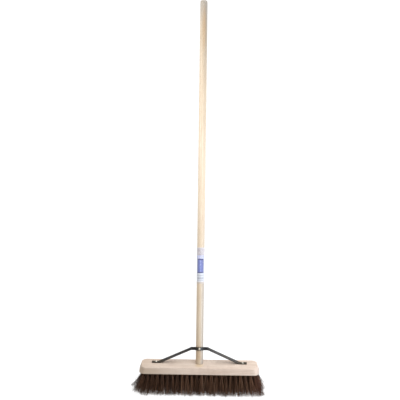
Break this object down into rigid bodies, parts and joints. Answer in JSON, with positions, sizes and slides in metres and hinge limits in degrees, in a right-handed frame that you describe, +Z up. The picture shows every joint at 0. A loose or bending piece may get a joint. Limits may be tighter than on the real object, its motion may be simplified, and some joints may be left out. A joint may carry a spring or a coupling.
{
  "type": "push broom",
  "caption": "Wide push broom: wooden head stock with dark bristle tufts, leaning round wooden handle and a bent steel strap stay.",
  "frame": {"origin": "on the floor plane under the middle of the broom's footprint: midway along the head, and midway between the frontmost bristles and the handle's free end; the head's own middle plane is 0.276 m from it towards -Y", "axes": "+Z up, with the bristle tips on Z = 0; +X along the head, to the right when the broom is seen from its front; +Y from the head towards the side the handle leans to"},
  "size_m": [0.493, 0.6477, 1.3618],
  "materials": {
    "stock_wood": "bare sanded hardwood",
    "handle_wood": "thin clear lacquer",
    "stay_steel": "black, slightly worn",
    "screw_steel": "bright zinc",
    "label_paper": "printed paper",
    "bristle_fibre": "dark brown fibre",
    "anchor_wire": "bright wire"
  },
  "bodies": {
    "root": {"head_stock": "stock_wood", "handle": "handle_wood", "stay": "stay_steel", "stay_handle_screw": "screw_steel", "stay_foot_screw_left": "screw_steel", "stay_foot_screw_right": "screw_steel", "handle_label": "label_paper", "tuft_row_1": "bristle_fibre", "tuft_row_2": "bristle_fibre", "tuft_row_3": "bristle_fibre", "tuft_row_4": "bristle_fibre", "tuft_row_5": "bristle_fibre", "tuft_anchors_row_1": "anchor_wire", "tuft_anchors_row_2": "anchor_wire", "tuft_anchors_row_3": "anchor_wire", "tuft_anchors_row_4": "anchor_wire", "tuft_anchors_row_5": "anchor_wire"}
  },
  "joints": []
}
